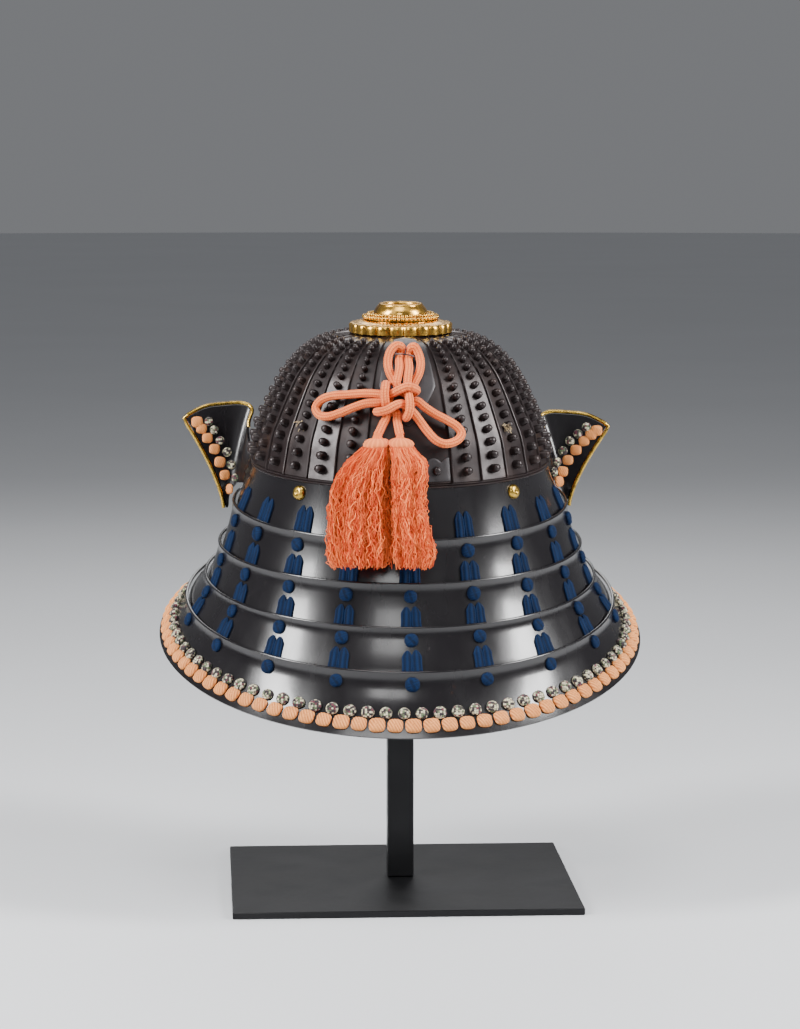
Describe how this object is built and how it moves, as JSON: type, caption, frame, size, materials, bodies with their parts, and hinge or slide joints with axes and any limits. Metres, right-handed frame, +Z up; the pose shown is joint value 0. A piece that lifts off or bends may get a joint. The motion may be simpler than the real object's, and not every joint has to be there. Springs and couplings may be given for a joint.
{
  "type": "star-riveted kabuto helmet on a plain stand",
  "caption": "Samurai helmet with a riveted plate bowl, laced black neck guard, turn-backs and a salmon silk bow, on a plain black post stand.",
  "frame": {"origin": "middle of the stand plate's underside below the post's axis", "axes": "+Z up along the post; -Y is the back of the helmet, which carries the bow; +Y is the peak; -X is the wearer's left side"},
  "size_m": [0.3694, 0.3444, 0.4496],
  "materials": {
    "black_steel": "satin",
    "russet_iron": "satin",
    "black_lacquer": "gloss",
    "gilt_brass": "satin",
    "grey_iron": "matte",
    "salmon_silk": "matte"
  },
  "bodies": {
    "root": {"stand_plate": "black_steel", "stand_post": "black_steel", "stand_head": "black_steel", "bowl": "russet_iron", "waist_band": "russet_iron", "neck_lame_1": "black_lacquer", "neck_lame_2": "black_lacquer", "neck_lame_3": "black_lacquer", "neck_lame_4": "black_lacquer", "neck_lame_5": "black_lacquer", "wing_rim_left": "gilt_brass", "wing_rim_right": "gilt_brass", "neck_rivet_left": "gilt_brass", "neck_rivet_right": "gilt_brass", "peak": "black_lacquer", "peak_rim": "gilt_brass", "crown_flange": "gilt_brass", "crown_bead_plate": "gilt_brass", "crown_collar": "gilt_brass", "bow_plate": "grey_iron", "bow_ring": "grey_iron", "bow_cord_left": "salmon_silk", "bow_cord_right": "salmon_silk", "tassel_left": "salmon_silk", "tassel_right": "salmon_silk"}
  },
  "joints": []
}
